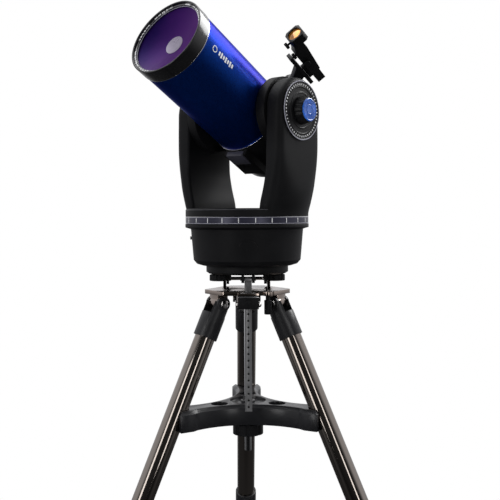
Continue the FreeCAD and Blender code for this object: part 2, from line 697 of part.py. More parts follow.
def finder_body():
    body = side_plate([(141, -42), (156.5, -42), (157.2, -19), (159.5, -17), (166, 38),
                       (166, HOOD_BACK_S + 1), (HOOD_LOW, HOOD_BACK_S + 1), (144, 44), (141, 40)],
                      BODY_HALF)
    sight = box(153, 190, -6.5, 6.5, -12, HOOD_BACK_S + 2)
    hood = box(HOOD_LOW, HOOD_TOP, -HOOD_HALF, HOOD_HALF, HOOD_BACK_S, HOOD_FRONT_S)
    corners = [e for e in hood.Edges if abs(e.Vertexes[0].Z - e.Vertexes[-1].Z) > 1]
    hood = hood.makeChamfer(5.0, corners)
    foot = box(CRADLE_TOP + 0.4, 142, -4, 4, -26, 4)
    body = body.cut(sight).fuse(hood).fuse(foot)
    window = Part.makeCylinder(WINDOW_R, 30, V(WINDOW_X, 0, HOOD_BACK_S - 2))
    body = body.cut(window.cut(box(100, 153, -20, 20, 0, HOOD_BACK_S)))
    body = body.cut(x_cylinder(2.0 + FIT, 139, 151, 0, TILT_SCREW_S))
    body = body.cut(x_cylinder(2.0 + FIT, HOOD_LOW - 3, 151, 0, HOOD_SCREW_S))
    return finder_place(body.cut(y_cylinder(1.5 + FIT, -20, -7.5, DIMMER_X, DIMMER_S)))


def finder_lens():
    return finder_place(Part.makeCylinder(WINDOW_R, 2.4, V(WINDOW_X, 0, HOOD_FRONT_S - 5)))


def finder_screw(s, head, low, high):
    """A knurled thumbscrew across the finder: its head's underside, and its shaft's two ends."""
    screw = moved(lobed(6.0, 9, head, head + 5.6, 0.7), turn((0, 1, 0), 90, (0, 0, s)))
    return finder_place(screw.fuse(x_cylinder(2.0, low, high, 0, s)))


def finder_switch():
    knob = moved(lobed(6.0, 8, 11.4, 16.4, 0.8), turn((1, 0, 0), 90, (DIMMER_X, 0, DIMMER_S)))
    return finder_place(knob.fuse(y_cylinder(1.5, -12, -8, DIMMER_X, DIMMER_S)))


def build():
    pieces = {
        "tripod_head": tripod_head(),
        "pivot_pins": pivot_pins(),
        "center_rod": center_rod(),
        "bar_guide": bar_guide(),
        "latitude_lock_knob": latitude_lock_knob(),
        "spreader_tray": spreader_tray(),
        "spreader_knob": spreader_knob(),
        "tilt_plate": tilt_plate(),
        "latitude_bar": latitude_bar(),
        "attachment_knob_left": attachment_knob(-50),
        "attachment_knob_right": attachment_knob(50),
        "drive_base": drive_base(),
        "control_panel": control_panel(),
        "power_switch": power_switch(),
        "azimuth_circle": azimuth_circle(),
        "azimuth_lock_lever": azimuth_lock_lever(),
        "azimuth_gear": azimuth_gear(),
    }
    for name, angle in LEG_ANGLES.items():
        hang = leg_placement(angle)
        pieces["leg_yoke_" + name] = moved(leg_yoke(), hang)
        pieces["leg_tube_" + name] = moved(leg_tube(), hang)
        pieces["leg_collar_" + name] = moved(leg_collar(), hang)
        pieces["leg_lock_knob_" + name] = moved(leg_lock_knob(), hang)
        pieces["leg_inner_tube_" + name] = moved(leg_inner_tube(), hang)
        pieces["leg_foot_" + name] = leg_foot(angle)
    right = arm(1)
    left = arm(-1)
    fork = {"right_arm": right, "left_arm": left, "fork_base": fork_base([right, left])}
    for name, shape in fork.items():
        pieces[name] = moved(shape, fork_placement())
    tube = {
        "optical_tube": optical_tube(),
        "front_cell": front_cell(),
        "retaining_ring": retaining_ring(),
        "corrector_lens": corrector_lens(),
        "secondary_spot": secondary_spot(),
        "rear_housing": rear_housing(),
        "rear_cell": rear_cell(),
        "primary_mirror": primary_mirror(),
        "baffle_tube": baffle_tube(),
        "flip_mirror": flip_mirror(),
        "focus_knob": focus_knob(),
        "eyepiece_holder": eyepiece_holder(),
        "eyepiece": eyepiece(),
        "eyepiece_thumbscrew": eyepiece_thumbscrew(),
        "altitude_circle": altitude_circle(),
        "altitude_lock_knob": altitude_lock_knob(),
        "finder_bracket": finder_bracket(),
        "finder_body": finder_body(),
        "finder_lens": finder_lens(),
        "finder_screw_front": finder_screw(HOOD_SCREW_S, 137.0, 142, 149.5),
        "finder_screw_rear": finder_screw(TILT_SCREW_S, 134.7, 128, 149.5),
        "finder_switch": finder_switch(),
    }
    for name, shape in tube.items():
        pieces[name] = moved(shape, tube_placement())
    return pieces


os.makedirs("parts", exist_ok=True)
for node, shape in build().items():
    if shape.isNull() or not shape.isValid():
        raise ValueError(node + " is not a valid solid")
    shape.exportStep("parts/" + node + ".step")
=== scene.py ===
"""The looks of a fork-mounted telescope on its tripod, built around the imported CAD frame.

Pieces are drawn in millimetres in local frames. All but FLOOR start at a joint of the frame:
  TUBE: on the altitude axis, X along that axis, Z along the optical axis towards the front
  FORK: on the altitude axis, X along that axis, Z straight up
  NEAR: at the same place, with its axes parallel to the part's own
  SIDE: at the same place, X straight up, Z out along the altitude axis through the lock knob
  LEGS: one for each leg, on its pivot, Z up the leg, X across the leg
  FLOOR: the part's own frame
"""

import json
import math

import bmesh
import bpy
from mathutils import Matrix, Vector

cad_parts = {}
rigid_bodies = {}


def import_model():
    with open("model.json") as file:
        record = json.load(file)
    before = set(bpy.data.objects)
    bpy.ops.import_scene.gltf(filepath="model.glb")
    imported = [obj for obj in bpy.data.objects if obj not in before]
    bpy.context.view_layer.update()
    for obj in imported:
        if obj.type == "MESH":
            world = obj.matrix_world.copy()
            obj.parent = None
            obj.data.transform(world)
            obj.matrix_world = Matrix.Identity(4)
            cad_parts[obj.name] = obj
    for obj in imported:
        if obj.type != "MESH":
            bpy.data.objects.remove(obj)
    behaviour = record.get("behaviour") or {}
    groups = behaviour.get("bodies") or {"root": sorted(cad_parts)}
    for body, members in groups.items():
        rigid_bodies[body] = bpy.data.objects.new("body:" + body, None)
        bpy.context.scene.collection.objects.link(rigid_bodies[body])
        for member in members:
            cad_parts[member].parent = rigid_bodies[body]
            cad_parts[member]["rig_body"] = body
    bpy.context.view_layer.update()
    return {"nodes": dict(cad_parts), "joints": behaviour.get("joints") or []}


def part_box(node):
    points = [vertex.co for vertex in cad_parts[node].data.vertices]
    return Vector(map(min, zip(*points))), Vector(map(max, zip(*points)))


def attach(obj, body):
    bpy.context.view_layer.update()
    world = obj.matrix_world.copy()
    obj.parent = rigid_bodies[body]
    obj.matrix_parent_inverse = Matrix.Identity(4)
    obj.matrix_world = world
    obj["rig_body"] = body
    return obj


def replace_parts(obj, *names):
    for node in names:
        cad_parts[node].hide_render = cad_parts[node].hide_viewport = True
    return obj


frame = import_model()
joints = {joint["name"]: joint for joint in frame["joints"]}
nodes = frame["nodes"]
MM = 0.001
TAU = 2 * math.pi


# ---------------------------------------------------------------- local frames

def local_frame(origin, x, z):
    """A millimetre frame at origin with the given X and Z directions."""
    x = Vector(x).normalized()
    z = Vector(z).normalized()
    y = z.cross(x).normalized()
    turn = Matrix((x, y, z)).transposed().to_4x4()
    return Matrix.Translation(Vector(origin)) @ turn @ Matrix.Scale(MM, 4)


ALTITUDE = joints["altitude_turn"]
ACROSS = -Vector(ALTITUDE["axis"])
TUBE = local_frame(ALTITUDE["pos_m"], ACROSS, joints["focus_turn"]["axis"])
FORK = local_frame(ALTITUDE["pos_m"], ACROSS, (0, 0, 1))
NEAR = local_frame(ALTITUDE["pos_m"], (1, 0, 0), (0, 0, 1))
SIDE = local_frame(ALTITUDE["pos_m"], (0, 0, 1), ACROSS)
FLOOR = Matrix.Scale(MM, 4)
LEGS = {}
for side in ("back", "left", "right"):
    fold = joints["leg_" + side + "_fold"]
    along = -Vector(joints["leg_" + side + "_extend"]["axis"])
    LEGS[side] = local_frame(fold["pos_m"], -Vector(fold["axis"]), along)
ALT_Z = ALTITUDE["pos_m"][2] / MM


def high(node):
    """The top of a CAD node, in millimetres above the floor."""
    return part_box(node)[1].z / MM


def low(node):
    """The bottom of a CAD node, in millimetres above the floor."""
    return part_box(node)[0].z / MM


# ---------------------------------------------------------------- materials

GRAIN_RELIEF_M = 0.0004
FLAKE_SCALE = 1400.0


def new_material(name):
    """A new material with its node tree's nodes and links."""
    made = bpy.data.materials.new(name)
    made.use_nodes = True
    return made, made.node_tree.nodes, made.node_tree.links


def surface(name, color, rough, metal=0.0, coat=0.0, coat_rough=0.05, spread=0.15, rough_spread=0.08,
            grain=900.0, bump=0.05, blotch=18.0, specular=0.5, stretch=(1, 1, 1)):
    """A moulded, painted or machined surface: blotchy colour, uneven gloss and a fine grain."""
    made, tree, links = new_material(name)
    shader = tree["Principled BSDF"]
    place = tree.new("ShaderNodeTexCoord")
    scale = tree.new("ShaderNodeMapping")
    scale.inputs["Scale"].default_value = stretch
    links.new(place.outputs["Object"], scale.inputs["Vector"])
    wide = tree.new("ShaderNodeTexNoise")
    wide.inputs["Scale"].default_value = blotch
    wide.inputs["Detail"].default_value = 6.0
    links.new(scale.outputs["Vector"], wide.inputs["Vector"])
    fine = tree.new("ShaderNodeTexNoise")
    fine.inputs["Scale"].default_value = grain
    fine.inputs["Detail"].default_value = 3.0
    links.new(scale.outputs["Vector"], fine.inputs["Vector"])
    tint = tree.new("ShaderNodeValToRGB")
    dark = [c * (1 - spread) for c in color]
    light = [min(1.0, c * (1 + spread) + 0.002) for c in color]
    tint.color_ramp.elements[0].position = 0.3
    tint.color_ramp.elements[0].color = (*dark, 1)
    tint.color_ramp.elements[1].position = 0.7
    tint.color_ramp.elements[1].color = (*light, 1)
    links.new(wide.outputs["Fac"], tint.inputs["Fac"])
    links.new(tint.outputs["Color"], shader.inputs["Base Color"])
    gloss = tree.new("ShaderNodeMapRange")
    gloss.inputs["To Min"].default_value = max(0.02, rough - rough_spread)
    gloss.inputs["To Max"].default_value = min(1.0, rough + rough_spread)
    links.new(wide.outputs["Fac"], gloss.inputs["Value"])
    links.new(gloss.outputs["Result"], shader.inputs["Roughness"])
    relief = tree.new("ShaderNodeBump")
    relief.inputs["Strength"].default_value = bump
    relief.inputs["Distance"].default_value = GRAIN_RELIEF_M
    links.new(fine.outputs["Fac"], relief.inputs["Height"])
    links.new(relief.outputs["Normal"], shader.inputs["Normal"])
    shader.inputs["Metallic"].default_value = metal
    shader.inputs["Coat Weight"].default_value = coat
    shader.inputs["Coat Roughness"].default_value = coat_rough
    shader.inputs["Specular IOR Level"].default_value = specular
    return made


def flake_paint(name, deep, bright):
    """Metallic blue paint under clear lacquer: fine flakes between two blues."""
    made = surface(name, deep, 0.34, metal=0.9, coat=0.06, coat_rough=0.20, spread=0.12,
                   rough_spread=0.04, grain=2600.0, bump=0.03)
    tree, links = made.node_tree.nodes, made.node_tree.links
    shader = tree["Principled BSDF"]
    place = next(n for n in tree if n.type == "TEX_COORD")
    shader.inputs["Specular Tint"].default_value = (0.10, 0.18, 0.50, 1)
    flakes = tree.new("ShaderNodeTexVoronoi")
    flakes.inputs["Scale"].default_value = FLAKE_SCALE
    links.new(place.outputs["Object"], flakes.inputs["Vector"])
    ramp = tree.new("ShaderNodeValToRGB")
    ramp.color_ramp.elements[0].position = 0.15
    ramp.color_ramp.elements[0].color = (*bright, 1)
    ramp.color_ramp.elements[1].position = 0.75
    ramp.color_ramp.elements[1].color = (*deep, 1)
    links.new(flakes.outputs["Distance"], ramp.inputs["Fac"])
    links.new(ramp.outputs["Color"], shader.inputs["Base Color"])
    return made


def lens_painted_reflection(name, shaded_violet, lit_violet):
    """Coated glass with a painted reflection: its colour runs from a darker violet to a lighter one across
    its width.
    """
    made, tree, links = new_material(name)
    shader = tree["Principled BSDF"]
    place = tree.new("ShaderNodeTexCoord")
    # painted reflection: the colour runs from the darker violet on one side of the lens to the lighter one on
    # the other
    along = tree.new("ShaderNodeVectorMath")
    along.operation = "DOT_PRODUCT"
    along.inputs[1].default_value = (0.75, 0.0, -0.45)
    links.new(place.outputs["Generated"], along.inputs[0])
    haze = tree.new("ShaderNodeTexNoise")
    haze.inputs["Scale"].default_value = 3.0
    links.new(place.outputs["Generated"], haze.inputs["Vector"])
    drift = tree.new("ShaderNodeMath")
    drift.operation = "MULTIPLY_ADD"
    drift.inputs[1].default_value = 0.25
    links.new(haze.outputs["Fac"], drift.inputs[0])
    links.new(along.outputs["Value"], drift.inputs[2])
    ramp = tree.new("ShaderNodeValToRGB")
    ramp.color_ramp.elements[0].position = 0.0
    ramp.color_ramp.elements[0].color = (*shaded_violet, 1)
    ramp.color_ramp.elements[1].position = 0.75
    ramp.color_ramp.elements[1].color = (*lit_violet, 1)
    links.new(drift.outputs["Value"], ramp.inputs["Fac"])
    links.new(ramp.outputs["Color"], shader.inputs["Base Color"])
    gloss = tree.new("ShaderNodeMapRange")
    gloss.inputs["To Min"].default_value = 0.34
    gloss.inputs["To Max"].default_value = 0.44
    links.new(haze.outputs["Fac"], gloss.inputs["Value"])
    links.new(gloss.outputs["Result"], shader.inputs["Roughness"])
    shader.inputs["Metallic"].default_value = 0.34
    shader.inputs["Specular IOR Level"].default_value = 0.05
    return made


PLASTIC = surface("black_plastic", (0.0034, 0.0035, 0.0044), 0.54, spread=0.25, grain=1500.0,
                  bump=0.08, specular=0.14)
PLASTIC_LOW = surface("black_plastic_fine", (0.0034, 0.0035, 0.0042), 0.40, spread=0.2, grain=2200.0,
                      bump=0.05, specular=0.2)
CAST = surface("black_casting", (0.0034, 0.0035, 0.0042), 0.52, spread=0.3, grain=700.0, bump=0.14,
               specular=0.14)
SATIN = surface("satin_casting", (0.0085, 0.0086, 0.0100), 0.36, spread=0.2, grain=1100.0, bump=0.08,
                specular=0.42)
GLOSS = surface("gloss_black", (0.0035, 0.0035, 0.0042), 0.22, coat=0.25, coat_rough=0.1, spread=0.2,
                grain=2600.0, bump=0.015, specular=0.4)
BEZEL = surface("bezel_black", (0.0045, 0.0042, 0.0070), 0.16, coat=0.9, coat_rough=0.06, spread=0.2,
                grain=2600.0, bump=0.01, specular=0.6)
BLUE = flake_paint("blue_flake_paint", (0.0008, 0.0100, 0.080), (0.0030, 0.0560, 0.360))
KNOB_BLUE = surface("blue_knob", (0.022, 0.14, 0.62), 0.25, coat=0.5, spread=0.3, blotch=60.0, grain=1200.0,
                    bump=0.05)
SILVER = surface("scale_silver", (0.030, 0.030, 0.052), 0.34, metal=0.5, spread=0.2, grain=1800.0, bump=0.06)
BRIGHT = surface("bright_metal", (0.62, 0.62, 0.64), 0.2, metal=1.0, spread=0.08, grain=2400.0, bump=0.03)
CHROME = surface("chrome", (0.72, 0.70, 0.68), 0.08, metal=1.0, spread=0.05, rough_spread=0.03, grain=1200.0,
                 bump=0.01)
LEG_CHROME = surface("leg_chrome", (0.250, 0.222, 0.200), 0.09, metal=1.0, spread=0.06, rough_spread=0.006,
                     blotch=4.0, grain=600.0, bump=0.0)
PLATE = surface("head_plate_steel", (0.30, 0.25, 0.22), 0.14, metal=1.0, spread=0.2, rough_spread=0.06,
                grain=900.0, bump=0.03, stretch=(0.15, 1, 1))
TRAY = surface("tray_paint", (0.0075, 0.0077, 0.0095), 0.36, metal=0.1, coat=0.25, coat_rough=0.2, spread=0.2,
               grain=1300.0, bump=0.04, specular=0.4)
ALLOY = surface("strut_alloy", (0.20, 0.20, 0.205), 0.38, metal=0.7, spread=0.15, grain=1400.0, bump=0.06,
                stretch=(1, 1, 0.2))
RUBBER = surface("rubber", (0.007, 0.007, 0.007), 0.72, spread=0.3, grain=500.0, bump=0.25, specular=0.25)
WHITE = surface("white_print", (0.78, 0.79, 0.80), 0.45, spread=0.05, grain=1500.0, bump=0.03)
# pale print for the scales' lines and rings, and also the painted highlight ring at the lens's edge
PALE = surface("pale_print_and_highlight", (0.30, 0.30, 0.36), 0.45, spread=0.08, grain=1500.0, bump=0.03)
# a faint light colour for the painted highlight round the deck's top edge
DIM = surface("dim_rim_highlight", (0.085, 0.085, 0.10), 0.4, spread=0.1, grain=1500.0, bump=0.03)
LUG = surface("grey_lug", (0.040, 0.040, 0.055), 0.4, spread=0.2, grain=900.0, bump=0.1)
MIRROR = surface("aluminised", (0.30, 0.27, 0.35), 0.3, metal=0.4, spread=0.05, grain=400.0, bump=0.0)
# the corrector's violet sweep is a painted reflection
GLASS = lens_painted_reflection("coated_glass", (0.014, 0.004, 0.075), (0.105, 0.012, 0.185))
AMBER = surface("amber_window", (0.62, 0.22, 0.02), 0.10, metal=0.55, coat=0.8, spread=0.75, blotch=60.0,
                grain=900.0, bump=0.0)
PAINTED = {
    "tripod_head": PLATE, "pivot_pins": CHROME, "center_rod": BRIGHT, "spreader_tray": TRAY,
    "latitude_bar": ALLOY, "azimuth_circle": SILVER, "azimuth_gear": BRIGHT, "optical_tube": BLUE,
    "front_cell": GLOSS, "retaining_ring": GLOSS, "corrector_lens": GLASS, "secondary_spot": MIRROR,
    "primary_mirror": MIRROR, "flip_mirror": PLASTIC, "rear_housing": CAST, "rear_cell": GLOSS,
    "eyepiece": GLOSS, "eyepiece_holder": CAST, "eyepiece_thumbscrew": CHROME, "baffle_tube": CAST,
    "finder_lens": AMBER, "finder_bracket": PLASTIC_LOW, "finder_body": PLASTIC_LOW,
    "tilt_plate": CAST, "power_switch": GLOSS, "azimuth_lock_lever": GLOSS, "drive_base": PLASTIC,
    "fork_base": PLASTIC,
}
for side in LEGS:
    PAINTED["leg_tube_" + side] = LEG_CHROME
    PAINTED["leg_inner_tube_" + side] = CHROME
    PAINTED["leg_foot_" + side] = RUBBER
    PAINTED["leg_yoke_" + side] = SATIN
    PAINTED["leg_collar_" + side] = SATIN


# ---------------------------------------------------------------- mesh helpers

BIG_ROUND = 160
MID_ROUND = 128
SMALL_ROUND = 96
CORNER_STEPS = 4
BEVEL_STEPS = 3
NEARLY_STRAIGHT = math.radians(172)
SHARP_EDGE = math.radians(32.0)
SAME_PLANE = math.radians(0.8)


def object_from(name, built):
    """A new object in the scene, made from a bmesh."""
    mesh = bpy.data.meshes.new(name)
    built.to_mesh(mesh)
    built.free()
    obj = bpy.data.objects.new(name, mesh)
    bpy.context.scene.collection.objects.link(obj)
    return obj


def add_part(built, part):
    """Everything in one bmesh moved into another."""
    mesh = bpy.data.meshes.new("part")
    part.to_mesh(mesh)
    part.free()
    built.from_mesh(mesh)
    bpy.data.meshes.remove(mesh)


def finish_piece(obj, body, paint, smooth):
    """Paint, smooth shading up to an angle in degrees, and the body of a piece."""
    obj.data.materials.clear()
    obj.data.materials.append(paint)
    obj.data.shade_smooth()
    obj.data.set_sharp_from_angle(angle=math.radians(smooth))
    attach(obj, body)
    return obj


def piece(name, built, where, body, paint, smooth=35.0):
    """A new object from a bmesh drawn in the millimetre frame `where`."""
    built.transform(where)
    bmesh.ops.recalc_face_normals(built, faces=built.faces)
    return finish_piece(object_from(name, built), body, paint, smooth)


def softened(profile, radius):
    """The corners of a closed (x, y) outline rounded off, each by a curve between its two sides."""
    out = []
    for i, point in enumerate(profile):
        p = Vector(point)
        a = Vector(profile[i - 1]) - p
        b = Vector(profile[(i + 1) % len(profile)]) - p
        turn = a.angle(b, 0.0)
        if a.length < 1e-6 or b.length < 1e-6 or turn > NEARLY_STRAIGHT:
            out.append(tuple(p))
            continue
        reach = min(radius / math.tan(turn / 2), a.length * 0.45, b.length * 0.45)
        first = p + a.normalized() * reach
        last = p + b.normalized() * reach
        for k in range(CORNER_STEPS + 1):
            t = k / CORNER_STEPS
            out.append(tuple(first * (1 - t) ** 2 + p * 2 * t * (1 - t) + last * t * t))
    return out


def lathe(profile, segments):
    """A solid of revolution about Z from a closed (radius, z) outline."""
    built = bmesh.new()
    columns = []
    for i in range(segments):
        angle = TAU * i / segments
        columns.append([built.verts.new((r * math.cos(angle), r * math.sin(angle), z))
                        for r, z in profile])
    for i in range(segments):
        near = columns[i]
        far = columns[(i + 1) % segments]
        for j in range(len(profile)):
            k = (j + 1) % len(profile)
            if profile[j][0] < 1e-6 and profile[k][0] < 1e-6:
                continue
            built.faces.new((near[j], far[j], far[k], near[k]))
    bmesh.ops.remove_doubles(built, verts=built.verts, dist=1e-5)
    return built


def block(x0, x1, y0, y1, z0, z1, bevel):
    """A box with all its edges rounded."""
    built = bmesh.new()
    made = bmesh.ops.create_cube(built, size=1.0)["verts"]
    for v in made:
        v.co = Vector(((x0 + x1) / 2 + v.co.x * (x1 - x0), (y0 + y1) / 2 + v.co.y * (y1 - y0),
                       (z0 + z1) / 2 + v.co.z * (z1 - z0)))
    edges = list({e for v in made for e in v.link_edges})
    bmesh.ops.bevel(built, geom=edges, offset=bevel, segments=BEVEL_STEPS, profile=0.5, affect="EDGES",
                    clamp_overlap=True)
    return built


def lobed_outline(radius, lobes, depth, per_lobe):
    """A hand knob's outline: wide lobes with narrower hollows between them."""
    out = []
    for i in range(lobes * per_lobe):
        angle = TAU * i / (lobes * per_lobe)
        wave = 0.5 - 0.5 * math.cos(lobes * angle)
        reach = radius - depth * wave ** 2.2
        out.append((reach * math.cos(angle), reach * math.sin(angle)))
    return out


def domed(outline, levels):
    """A stack of scaled copies of an outline: levels are (scale, z), closed at both ends."""
    built = bmesh.new()
    rings = [[built.verts.new((x * k, y * k, z)) for x, y in outline] for k, z in levels]
    for lower, upper in zip(rings, rings[1:]):
        for i in range(len(outline)):
            j = (i + 1) % len(outline)
            built.faces.new((lower[i], lower[j], upper[j], upper[i]))
    built.faces.new(rings[0][::-1])
    built.faces.new(rings[-1])
    return built


def refined(node, width):
    """The CAD node's own shape with its hard edges rounded: a new piece that stands for it."""
    built = bmesh.new()
    built.from_mesh(nodes[node].data)
    bmesh.ops.remove_doubles(built, verts=built.verts, dist=1e-6)
    bmesh.ops.dissolve_limit(built, angle_limit=SAME_PLANE, verts=built.verts, edges=built.edges)
    sharp = [e for e in built.edges if len(e.link_faces) == 2
             and e.calc_face_angle(0.0) > SHARP_EDGE]
    bmesh.ops.bevel(built, geom=sharp, offset=width * MM, segments=2, profile=0.5, affect="EDGES",
                    clamp_overlap=True)
    shown = object_from(node + "_shown", built)
    finish_piece(shown, nodes[node]["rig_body"], PAINTED.get(node, PLASTIC), 30.0)
    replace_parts(shown, node)


# ---------------------------------------------------------------- camera, floor and light

LENS_MM = 61.74
SENSOR_MM = 36.0
EYE = Vector((-0.0330, -1.6031, ALT_Z * MM - 0.1835))
YAW, PITCH, ROLL = math.radians(1.37), math.radians(2.36), math.radians(0.28)
FLOOR_R = 1.6
FLOOR_REACH = 0.47
FLOOR_SOFT = 0.09
ROOM_DARK = 0.06
# an axis of the room, and where along it the dark ends and the white begins
ROOM_FADES = (("Y", -0.75, -0.15), ("Z", -0.55, 0.22))
BACKDROP_R = 20.0
# name, place, what it points at, size and power of each lamp
LAMPS = (
    ("key", (1.7, 1.1, 2.2), (0, 0, 0.75), (1.8, 1.2), 55),
    ("top", (-0.5, 0.3, 2.6), (0, 0, 0.75), (1.6, 1.2), 16),
    ("fill", (-1.6, -1.9, 1.2), (0, 0, 0.6), (1.2, 1.2), 6),
    ("strip_left", (-1.25, -1.5, 0.78), (0, 0, 0.78), (0.50, 1.45), 8.0),
    ("strip_right", (0.75, -1.75, 0.78), (0, 0, 0.78), (0.30, 1.45), 5.5),
)


def aim(eye, yaw, pitch, roll):
    """A camera matrix that looks along +Y, turned to +X by yaw and down by pitch."""
    forward = Vector((math.sin(yaw) * math.cos(pitch), math.cos(yaw) * math.cos(pitch), -math.sin(pitch)))
    right = Vector((math.cos(yaw), -math.sin(yaw), 0))
    up = right.cross(forward)
    turn = Matrix((right, up, -forward)).transposed().to_4x4()
    return Matrix.Translation(eye) @ turn @ Matrix.Rotation(-roll, 4, "Z")


def make_camera():
    """The camera, in front of the telescope and a little below the altitude axis."""
    lens = bpy.data.cameras.new("camera")
    lens.lens = LENS_MM
    lens.sensor_width = SENSOR_MM
    lens.clip_end = 60.0
    camera = bpy.data.objects.new("camera", lens)
    bpy.context.scene.collection.objects.link(camera)
    camera.matrix_world = aim(EYE, YAW, PITCH, ROLL)
    bpy.context.scene.camera = camera


def area_light(name, place, target, size, power):
    """A rectangular lamp turned towards its target."""
    lamp = bpy.data.lights.new(name, "AREA")
    lamp.shape = "RECTANGLE"
    lamp.size = size[0]
    lamp.size_y = size[1]
    lamp.energy = power
    obj = bpy.data.objects.new(name, lamp)
    bpy.context.scene.collection.objects.link(obj)
    obj.location = place
    obj.rotation_euler = (Vector(target) - Vector(place)).to_track_quat("-Z", "Y").to_euler()
    return obj


def paper_floor(reach, soft):
    """Pale paper that fades into the white of the backdrop round its edge."""
    made, tree, links = new_material("studio_paper")
    shader = tree["Principled BSDF"]
    shader.inputs["Base Color"].default_value = (0.86, 0.86, 0.87, 1)
    shader.inputs["Roughness"].default_value = 0.8
    place = tree.new("ShaderNodeTexCoord")
    length = tree.new("ShaderNodeVectorMath")
    length.operation = "LENGTH"
    links.new(place.outputs["Object"], length.inputs[0])
    fade = tree.new("ShaderNodeMapRange")
    fade.interpolation_type = "SMOOTHSTEP"
    fade.inputs["From Min"].default_value = reach - soft
    fade.inputs["From Max"].default_value = reach
    links.new(length.outputs["Value"], fade.inputs["Value"])
    white = tree.new("ShaderNodeEmission")
    blend = tree.new("ShaderNodeMixShader")
    links.new(fade.outputs["Result"], blend.inputs["Fac"])
    links.new(shader.outputs["BSDF"], blend.inputs[1])
    links.new(white.outputs["Emission"], blend.inputs[2])
    links.new(blend.outputs["Shader"], tree["Material Output"].inputs["Surface"])
    return made


def make_world():
    """A room that is white behind the telescope and above it, dark below and on the near side."""
    world = bpy.data.worlds.new("studio")
    world.use_nodes = True
    tree, links = world.node_tree.nodes, world.node_tree.links
    place = tree.new("ShaderNodeTexCoord")
    split = tree.new("ShaderNodeSeparateXYZ")
    links.new(place.outputs["Generated"], split.inputs["Vector"])
    parts = []
    for axis, start, end in ROOM_FADES:
        ramp = tree.new("ShaderNodeMapRange")
        ramp.interpolation_type = "SMOOTHSTEP"
        ramp.inputs["From Min"].default_value = start
        ramp.inputs["From Max"].default_value = end
        ramp.inputs["To Min"].default_value = ROOM_DARK
        links.new(split.outputs[axis], ramp.inputs["Value"])
        parts.append(ramp.outputs["Result"])
    both = tree.new("ShaderNodeMath")
    both.operation = "MULTIPLY"
    links.new(parts[0], both.inputs[0])
    links.new(parts[1], both.inputs[1])
    links.new(both.outputs["Value"], tree["Background"].inputs["Strength"])
    tree["Background"].inputs["Color"].default_value = (0.80, 0.80, 0.82, 1)
    bpy.context.scene.world = world


def make_backdrop():
    """A white dome that only the camera sees."""
    built = bmesh.new()
    bmesh.ops.create_uvsphere(built, u_segments=48, v_segments=24, radius=BACKDROP_R)
    dome = object_from("backdrop", built)
    made, tree, links = new_material("backdrop_white")
    white = tree.new("ShaderNodeEmission")
    links.new(white.outputs["Emission"], tree["Material Output"].inputs["Surface"])
    dome.data.materials.append(made)
    dome.visible_diffuse = False
    dome.visible_glossy = False
    dome.visible_transmission = False
    dome.visible_shadow = False


def make_studio():
    """The white studio: the fill lamp and the floor don't show in reflections."""
    make_world()
    make_backdrop()
    bpy.context.scene.view_settings.view_transform = "Standard"
    built = bmesh.new()
    bmesh.ops.create_circle(built, cap_ends=True, segments=SMALL_ROUND, radius=FLOOR_R)
    floor = object_from("floor", built)
    floor.data.materials.append(paper_floor(FLOOR_REACH, FLOOR_SOFT))
    floor.visible_glossy = False
    for name, *settings in LAMPS:
        area_light(name, *settings).visible_glossy = name != "fill"


# ---------------------------------------------------------------- optical tube

# radii from the optical axis, and stations (S) along it from the altitude axis
TUBE_R = 71.8
TUBE_BORE_R = 70.4
TUBE_REAR_S = -2.0
CELL_R = 73.0
CELL_BORE_R = 70.6
CELL_SEAT_R = 66.7
CELL_SEAT_S = 223.0
CELL_STOP_R = 61.0
CELL_STOP_S = 219.0
FRONT_S = 240.0
CELL_BACK = 214.0
BEZEL_S = 231.4
BEZEL_R = 69.2
BEZEL_IN_R = 65.0
TRIM_IN_R = 71.6


def make_tube():
    """The blue tube with its bright trims and lug, the front cell, and the bezel with a pale ring at the
    lens's edge that is a painted highlight.
    """
    shell = softened([(TUBE_BORE_R, TUBE_REAR_S), (TUBE_R, TUBE_REAR_S), (TUBE_R, CELL_BACK),
                      (TUBE_BORE_R, CELL_BACK)], 0.3)
    tube = piece("tube_shell", lathe(shell, BIG_ROUND), TUBE, "ota", BLUE)
    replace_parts(tube, "optical_tube")
    for name, low_s, high_s, radius in (("trim_front", CELL_BACK - 1.0, CELL_BACK + 0.2, 72.6),
                                        ("trim_rear", -3.0, -1.2, 73.6)):
        band = softened([(TRIM_IN_R, low_s), (radius, low_s), (radius, high_s), (TRIM_IN_R, high_s)], 0.5)
        piece(name, lathe(band, BIG_ROUND), TUBE, "ota", BRIGHT)
    lug = block(-19, 19, -84.5, -74.5, -34, -3.4, 1.2)
    piece("tube_lug", lug, TUBE, "ota", LUG)
    cell = softened([(CELL_R, CELL_BACK), (CELL_R, FRONT_S), (69.8, FRONT_S), (69.4, BEZEL_S),
                     (CELL_SEAT_R, BEZEL_S), (CELL_SEAT_R, CELL_SEAT_S), (CELL_STOP_R, CELL_SEAT_S),
                     (CELL_STOP_R, CELL_STOP_S), (CELL_BORE_R, CELL_STOP_S), (CELL_BORE_R, CELL_BACK)], 1.2)
    cell = piece("front_cell_shell", lathe(cell, BIG_ROUND), TUBE, "ota", GLOSS)
    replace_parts(cell, "front_cell")
    bezel = softened([(BEZEL_R, BEZEL_S), (BEZEL_R, 236.6), (66.4, 235.8), (BEZEL_IN_R, 233.6),
                      (BEZEL_IN_R, BEZEL_S)], 0.5)
    bezel = piece("bezel", lathe(bezel, BIG_ROUND), TUBE, "ota", BEZEL)
    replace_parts(bezel, "retaining_ring")
    # painted highlight: a pale ring just inside the bezel, where the rim at the lens's edge catches the light
    rim_glint = softened([(64.7, 233.4), (65.5, 233.4), (65.5, 234.6), (64.7, 234.6)], 0.2)
    piece("bezel_rim_highlight", lathe(rim_glint, BIG_ROUND), TUBE, "ota", PALE)


